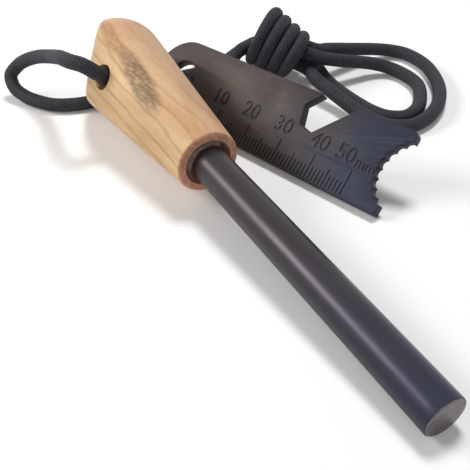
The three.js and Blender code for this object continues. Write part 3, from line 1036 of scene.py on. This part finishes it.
def wood_finish():
    """Warm base, painted light and shade by side, thin growth lines, darker patches, pores,
    and a red-brown mouth.
    """
    material, tree, shader = new_finish("handle wood")
    line = on_rod_line(tree)
    part = parts_of(tree, line)

    tone = noise(tree, on_rod_line(tree, 0.16), 160.0, 3.0, 0.55, distortion=0.6)
    colour = ramp(tree, tone, [(0.28, WOOD_DARK), (0.5, WOOD_MIDDLE), (0.72, WOOD_PALE)])
    # Painted light and shade by side: where a point lies across the rod's line picks the tint.
    side = graded(tree, part["Y"], 0, 110.0, 0.7, clamp=True)
    painted_light_by_side = maths(tree, "ADD", side, graded(tree, tone, 0.5, 0.9), clamp=True)
    painted_side_light = ramp(tree, painted_light_by_side, [(0.1, LEFT_FLANK_PAINTED_LIGHT), (0.5, TOP_PAINTED_LIGHT), (0.9, RIGHT_FLANK_PAINTED_SHADE)])
    colour = mixed(tree, 0.85, colour, painted_side_light, "MULTIPLY")

    bands = {"wave_type": "BANDS", "bands_direction": "DIAGONAL"}
    lines = add(tree, "ShaderNodeTexWave", bands, {
        "Vector": on_rod_line(tree, 0.1), "Scale": 150.0, "Distortion": 5.0,
        "Detail": 3.0, "Detail Scale": 1.2,
    }).outputs["Fac"]
    thin = ramp(tree, lines, [(0.0, BLACK), (0.86, BLACK), (1.0, WHITE)])
    faded = maths(tree, "MULTIPLY", thin, graded(tree, painted_light_by_side, 0, -0.75, 1.0))
    colour = mixed(tree, maths(tree, "MULTIPLY", faded, 0.42), colour, GROWTH_LINE)

    fine = on_rod_line(tree, 0.3)
    grit = noise(tree, fine, 1500.0, 3.0, 0.7)
    speckle = graded(tree, grit, 0.35, 3.2, 0.35, clamp=True)
    for figure in FIGURES:
        mask = figure_mask(tree, part, figure, tone)
        speckled = maths(tree, "MULTIPLY", speckle, figure["strength"])
        colour = mixed(tree, maths(tree, "MULTIPLY", mask, speckled), colour, figure["colour"])

    pores = noise(tree, fine, 2600.0, 2.0, 0.7)
    dark = ramp(tree, pores, [(0.3, WHITE), (0.46, BLACK)])
    colour = mixed(tree, maths(tree, "MULTIPLY", dark, 0.22), colour, PORE)

    near_mouth = graded(tree, part["X"], -0.0005, 3500.0, clamp=True)
    soaked = noise(tree, line, 900.0, 3.0, 0.6)
    ring = ramp(tree, soaked, [(0.3, MOUTH_DARK), (0.7, MOUTH_PALE)])
    fill(tree, shader, {
        "Base Color": mixed(tree, near_mouth, colour, ring),
        "Roughness": 0.5,
        "Specular IOR Level": 0.35,
        "Normal": bumped(tree, pores, strength=0.12, distance=0.0002),
    })
    return material


wood = wood_finish()
handle_piece.data.materials.clear()
handle_piece.data.materials.append(wood)
print("finish:", wood.name)

# %% [markdown]
# ### Ferrocerium, steel and glue
# The rod is dark, smooth and satin: a broad soft reflection runs along it, and its colour is
# painted warmer near the handle and bluer at the tip, a painted tint of that reflection. The
# striker is blackened steel, browner towards the lug and bluer towards the teeth, with faint
# brushing along its length.

# %% Metal and glue finishes
ROD_DARK, ROD_PALE = linear(38, 38, 46), linear(56, 56, 68)
# A painted reflection tint: warm towards the handle, blue towards the tip.
ROD_WARM_PAINTED_REFLECTION, ROD_BLUE_PAINTED_REFLECTION = linear(64, 56, 53), linear(42, 50, 80)
SAWN_DARK, SAWN_PALE = linear(78, 74, 78), linear(138, 130, 128)
STEEL_BROWN, STEEL_GREY = linear(64, 55, 52), linear(48, 44, 47)
STEEL_BLUE, STEEL_PRESSED = linear(40, 42, 58), linear(24, 23, 26)
BRUSHED_DARK, BRUSHED_PALE = (0.72, 0.72, 0.72, 1), (1.15, 1.15, 1.15, 1)
GLUE_DARK, GLUE_PALE = linear(44, 30, 25), linear(104, 68, 52)


def rod_finish():
    """Dark satin with faint streaks, a painted reflection tint warmer near the handle and bluer at
    the tip, and a grey end.
    """
    material, tree, shader = new_finish("ferrocerium")
    line = on_rod_line(tree)
    part = parts_of(tree, line)
    streak = noise(tree, on_rod_line(tree, 0.04), 900.0, 3.0, 0.6)
    cloud = noise(tree, on_rod_line(tree, 0.5), 130.0, 3.0, 0.55)
    colour = ramp(tree, streak, [(0.3, ROD_DARK), (0.7, ROD_PALE)])
    # Painted reflection tint, from warm near the handle to blue at the tip.
    warm_reflection, blue_reflection = mixed(tree, 0.6, colour, ROD_WARM_PAINTED_REFLECTION), mixed(tree, 0.5, colour, ROD_BLUE_PAINTED_REFLECTION)
    colour = mixed(tree, graded(tree, part["X"], 0.03, 18.0, clamp=True), warm_reflection, blue_reflection)
    sawn = ramp(tree, noise(tree, line, 1500.0, 4.0, 0.7), [(0.3, SAWN_DARK), (0.7, SAWN_PALE)])
    on_end = graded(tree, part["X"], 0.07125, 9000.0, clamp=True)
    fill(tree, shader, {
        "Base Color": mixed(tree, on_end, colour, sawn),
        "Metallic": 0.6,
        "Roughness": graded(tree, cloud, 0, 0.14, 0.26),
        "Normal": bumped(tree, streak, strength=0.1, distance=0.0001),
    })
    return material


def steel_finish():
    """Dark satin steel, brown to blue along the ruler, faintly brushed, darker where pressed."""
    material, tree, shader = new_finish("blackened steel")
    centred = mapped(tree, object_place(tree), move=tuple(-plate_to_frame([0, 0, 0])))
    turned = mapped(tree, centred, turn=(0, 0, -PLATE_TURN))
    leaned = mapped(tree, turned, turn=(-PLATE_LEAN, 0, 0))
    brushed = noise(tree, mapped(tree, leaned, scale=(0.05, 1, 1)), 1500.0, 3.0, 0.65)
    cloud = noise(tree, leaned, 110.0, 3.0, 0.55)
    ruler = graded(tree, parts_of(tree, leaned)["X"], 0, 17.0)
    along = maths(tree, "ADD", ruler, graded(tree, cloud, 0.5, 0.8), clamp=True)
    colour = ramp(tree, along, [(0.25, STEEL_BROWN), (0.6, STEEL_GREY), (0.85, STEEL_BLUE)])
    brushing = ramp(tree, brushed, [(0.3, BRUSHED_DARK), (0.7, BRUSHED_PALE)])
    colour = mixed(tree, 0.8, colour, brushing, "MULTIPLY")
    pressed = maths(tree, "MULTIPLY", stored(tree, "pressed_in"), 0.8)
    fill(tree, shader, {
        "Base Color": mixed(tree, pressed, colour, STEEL_PRESSED),
        "Metallic": 0.6,
        "Roughness": graded(tree, cloud, 0, 0.18, 0.4),
        "Normal": bumped(tree, brushed, strength=0.12, distance=0.0001),
    })
    return material


def glue_finish():
    """Brown, smooth and wet-looking, with slow ripples that break the light into glints."""
    material, tree, shader = new_finish("set glue")
    ripple = noise(tree, object_place(tree), scale=500.0)
    fill(tree, shader, {
        "Base Color": ramp(tree, ripple, [(0.3, GLUE_DARK), (0.7, GLUE_PALE)]),
        "Roughness": 0.2,
        "Normal": bumped(tree, ripple, strength=0.5, distance=0.0006),
    })
    return material


rod_piece.data.materials.append(rod_finish())
glue_piece.data.materials.append(glue_finish())
striker_piece.data.materials.clear()
striker_piece.data.materials.append(steel_finish())
print("metal finishes made")

# %% [markdown]
# ## Floor, light and background
# The photograph is a cut-out on white with a soft grey shadow towards the lower left. A wide pale
# floor takes the shadow. The lamp high behind throws it, and isn't seen in the metal. A long lamp
# at the left is the one the rod mirrors, and a weak one in front lights the rod's end. The world
# is white where the camera or a shiny piece sees it, and weak as a light.

# %% Stage
FLOOR_HALF = 0.7
FLOOR_WHITE = (0.92, 0.92, 0.92, 1)
FLOOR_LIFT = 0.08
WORLD_LEVEL = 0.15
LAMPS = [
    ("lamp_behind", (-0.18, 0.2, 0.76), (0.22, 0.22), 4.0, (1, 1, 1), False),
    ("lamp_left", (-0.29, -0.4, 0.34), (0.32, 0.17), 1.75, (1, 0.97, 0.95), True),
    ("lamp_front", (0.5, -0.2, 0.3), (0.4, 0.4), 0.6, (1, 1, 1), True),
]


def floor_finish():
    """White paper. Seen straight by the camera it is lifted a little, and its shadow stays."""
    material, tree, shader = new_finish("floor paper")
    seen = add(tree, "ShaderNodeLightPath").outputs["Is Camera Ray"]
    fill(tree, shader, {
        "Base Color": FLOOR_WHITE,
        "Roughness": 0.9,
        "Specular IOR Level": 0.0,
        "Emission Color": WHITE,
        "Emission Strength": maths(tree, "MULTIPLY", seen, FLOOR_LIFT),
    })
    return material


def soft_lamp(name, place, size, power, colour, mirrored):
    """An oblong area lamp that faces the origin, seen or not seen in shiny pieces."""
    data = bpy.data.lights.new(name, "AREA")
    data.shape = "RECTANGLE"
    data.size, data.size_y = size
    data.energy = power
    data.color = colour
    lamp = linked(name, data)
    back = unit(np.array(place))
    side = unit(np.cross(UPWARD, back))
    lamp.matrix_world = pose_matrix(side, np.cross(back, side), back, place)
    lamp.visible_glossy = mirrored


floor_corners = FLOOR_HALF * np.array([[-1, -1, 0], [1, -1, 0], [1, 1, 0], [-1, 1, 0]])
floor = link_mesh("floor", floor_corners, [[0, 1, 2, 3]])
floor.data.materials.append(floor_finish())
for lamp in LAMPS:
    soft_lamp(*lamp)

world = bpy.data.worlds.new("world")
bpy.context.scene.world = world
world.use_nodes = True
sky = world.node_tree
path = add(sky, "ShaderNodeLightPath").outputs
mirrored = maths(sky, "ADD", path["Is Glossy Ray"], path["Is Transmission Ray"])
bright = maths(sky, "ADD", path["Is Camera Ray"], mirrored, clamp=True)
fill(sky, sky.nodes["Background"].inputs, {
    "Color": WHITE,
    "Strength": graded(sky, bright, 0, 1 - WORLD_LEVEL, WORLD_LEVEL),
})
bpy.context.scene.view_settings.view_transform = "Standard"
print("stage ready, lamps:", len(LAMPS))
